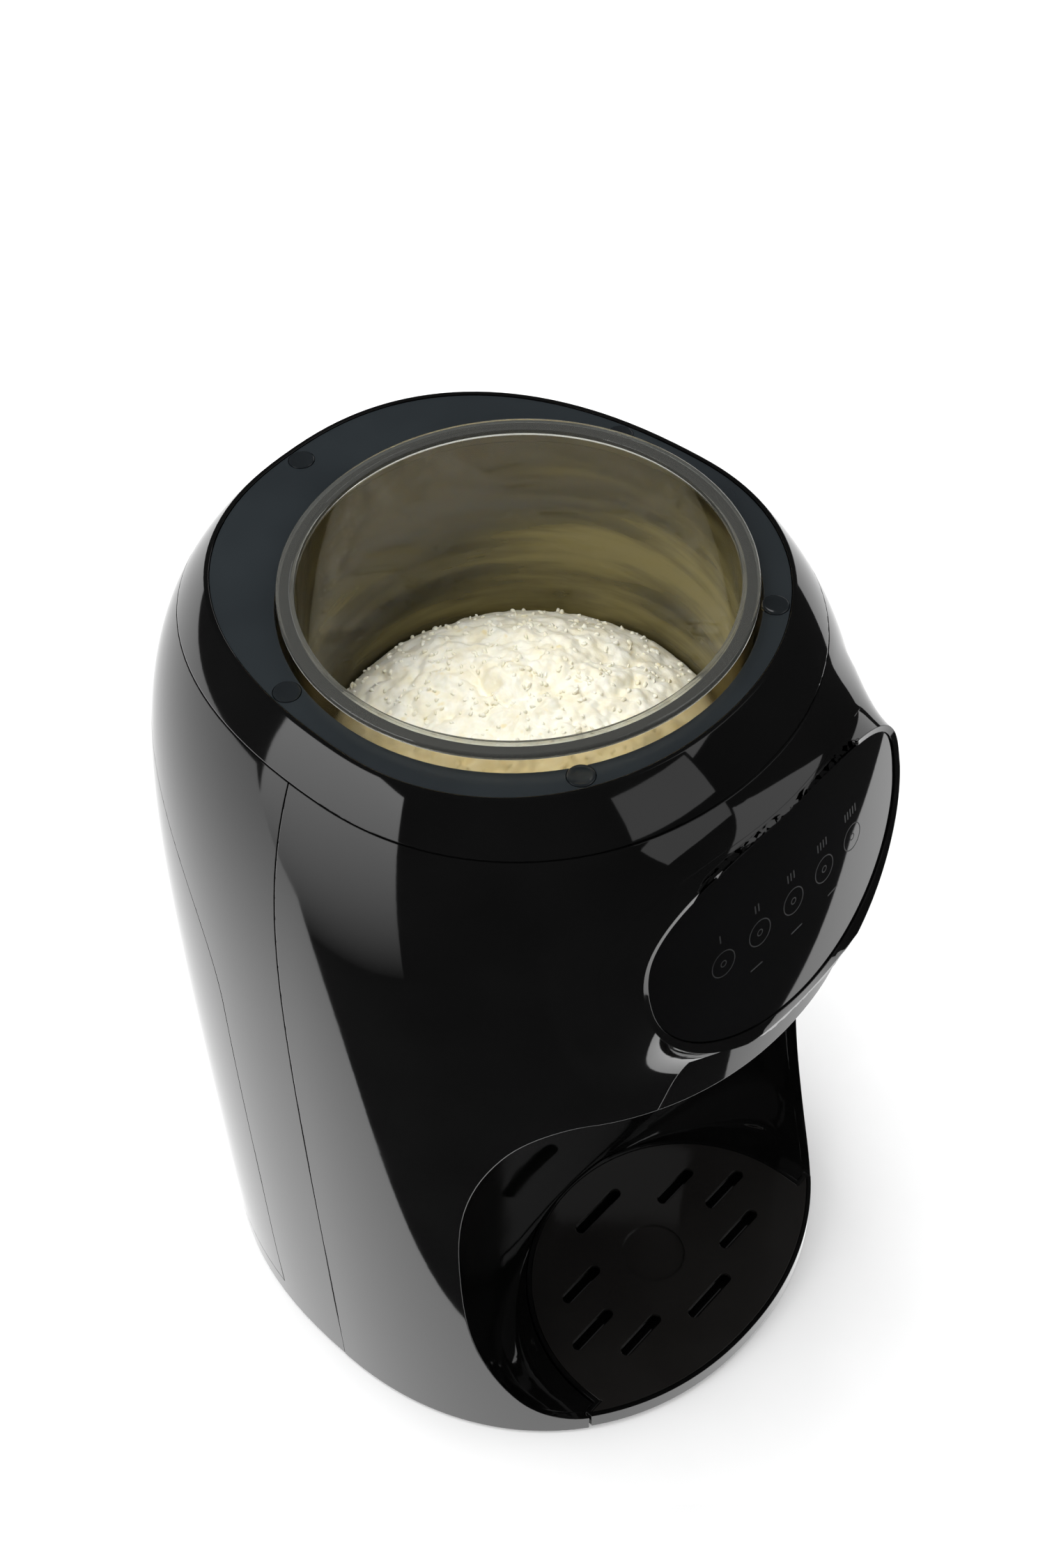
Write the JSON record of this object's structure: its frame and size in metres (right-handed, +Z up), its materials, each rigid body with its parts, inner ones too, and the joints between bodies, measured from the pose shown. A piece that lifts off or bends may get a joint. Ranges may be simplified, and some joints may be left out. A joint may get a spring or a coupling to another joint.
{
  "type": "powdered milk drink maker",
  "caption": "Countertop drink maker with a lift-out round powder hopper on top, slanted touch panel, open bottle bay, drip tray and rear water tank.",
  "frame": {"origin": "middle of the footprint, on the surface the object stands on", "axes": "+X to the user's right when facing the front, -Y out of the front, +Z up"},
  "size_m": [0.2082, 0.2334, 0.331],
  "materials": {
    "moulded_black": "high gloss moulded ABS",
    "deck_satin": "satin blue-black moulded ABS",
    "smoky_clear": "clear smoky amber moulded copolyester",
    "rim_clear": "grey translucent moulded copolyester",
    "touch_glass": "black screen printed cover glass",
    "milk_powder": "loose crumbly powder",
    "white_acetal": "moulded acetal",
    "inner_black": "plain moulded ABS, unpolished",
    "steel": "turned or drawn steel",
    "bronze_bush": "sintered bronze",
    "cast_aluminium": "cast and machined",
    "silicone": "extruded silicone",
    "foot_rubber": "moulded rubber",
    "board": "solder masked board",
    "tank_clear": "clear grey moulded copolyester"
  },
  "bodies": {
    "housing": {"front_shell": "moulded_black", "rear_shell": "moulded_black", "top_collar": "moulded_black", "deck_plate": "deck_satin", "screw_caps": "moulded_black", "hopper_seat": "inner_black", "powder_chute": "white_acetal", "drive_bush": "bronze_bush", "bay_liner": "moulded_black", "panel_hood": "moulded_black", "touch_panel": "touch_glass", "panel_board": "board", "gear_motor": "steel", "motor_bracket": "steel", "nozzle_block": "white_acetal", "base_plate": "inner_black", "base_screws": "steel", "rubber_feet": "foot_rubber", "tank_bulkhead": "inner_black", "tank_socket": "white_acetal", "water_pump": "inner_black", "heater": "cast_aluminium", "supply_tube": "silicone", "pump_tube": "silicone", "outlet_tube": "silicone", "main_board": "board", "power_inlet": "inner_black"},
    "hopper": {"hopper_tub": "smoky_clear", "hopper_rim": "rim_clear", "powder_charge": "milk_powder"},
    "dosing": {"dosing_wheel": "white_acetal"},
    "drive": {"drive_shaft": "steel", "drive_gear": "white_acetal"},
    "pinion": {"motor_pinion": "white_acetal"},
    "funnel_unit": {"funnel_cover": "moulded_black", "funnel_drawer": "inner_black", "mixing_funnel": "white_acetal"},
    "tray": {"drip_tray": "moulded_black"},
    "grille": {"drip_grille": "moulded_black"},
    "tank": {"rear_cover": "moulded_black", "tank_vessel": "tank_clear", "tank_lid": "inner_black", "tank_valve": "white_acetal"}
  },
  "joints": [
    {"name": "hopper_lift", "type": "slide", "parent": "housing", "child": "hopper", "axis": [0, 0, 1], "range_m": [0, 0.12]},
    {"name": "dosing_spin", "type": "hinge", "parent": "hopper", "child": "dosing", "pos_m": [0, -0.0075, 0.245], "axis": [0, 0, 1], "continuous": true},
    {"name": "drive_spin", "type": "hinge", "parent": "housing", "child": "drive", "pos_m": [0, -0.0075, 0.22], "axis": [0, 0, 1], "continuous": true},
    {"name": "pinion_spin", "type": "hinge", "parent": "housing", "child": "pinion", "pos_m": [0, 0.0166, 0.215], "axis": [0, 0, 1], "continuous": true},
    {"name": "funnel_slide", "type": "slide", "parent": "housing", "child": "funnel_unit", "axis": [0, -1, 0], "range_m": [0, 0.11]},
    {"name": "tray_slide", "type": "slide", "parent": "housing", "child": "tray", "axis": [0, -1, 0], "range_m": [0, 0.1]},
    {"name": "grille_lift", "type": "slide", "parent": "tray", "child": "grille", "axis": [0, 0, 1], "range_m": [0, 0.03]},
    {"name": "tank_slide", "type": "slide", "parent": "housing", "child": "tank", "axis": [0, 1, 0], "range_m": [0, 0.1]}
  ],
  "couplings": [
    {"joint": "dosing_spin", "follows": "drive_spin", "ratio": 1},
    {"joint": "pinion_spin", "follows": "drive_spin", "ratio": -3}
  ]
}
